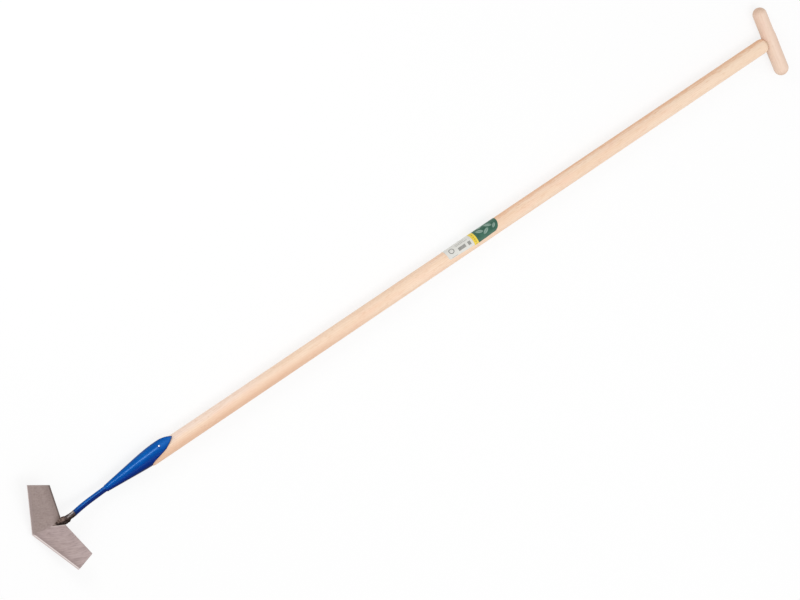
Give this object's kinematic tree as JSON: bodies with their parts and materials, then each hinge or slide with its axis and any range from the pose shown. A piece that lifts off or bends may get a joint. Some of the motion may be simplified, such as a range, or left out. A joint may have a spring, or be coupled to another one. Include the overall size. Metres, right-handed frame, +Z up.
{
  "type": "long-handled push hoe",
  "caption": "Push hoe with a folded V-shaped steel blade on a bent round neck, a painted rolled socket, a round wooden handle and a wooden crossbar grip.",
  "frame": {"origin": "on the handle's axis, level with the tip of the socket's tongue", "axes": "+X along the handle from the blade to the crossbar, +Y along the crossbar, +Z up, away from the surface that the hoe lies on"},
  "size_m": [1.6468, 0.1766, 0.0422],
  "materials": {
    "ground_steel": "ground, with a heat tint towards the notch",
    "bright_steel": "plain",
    "burnt_weld": "burnt, rough",
    "blue_paint": "gloss",
    "pale_wood": "sanded, bare",
    "white_label": "satin film",
    "green_label": "satin film"
  },
  "bodies": {
    "root": {"blade": "ground_steel", "blade_weld": "burnt_weld", "neck": "blue_paint", "socket_weld": "blue_paint", "socket": "blue_paint", "socket_nail": "blue_paint", "handle": "pale_wood", "crossbar": "pale_wood", "crossbar_brad": "bright_steel", "label_white": "white_label", "label_green": "green_label"}
  },
  "joints": []
}
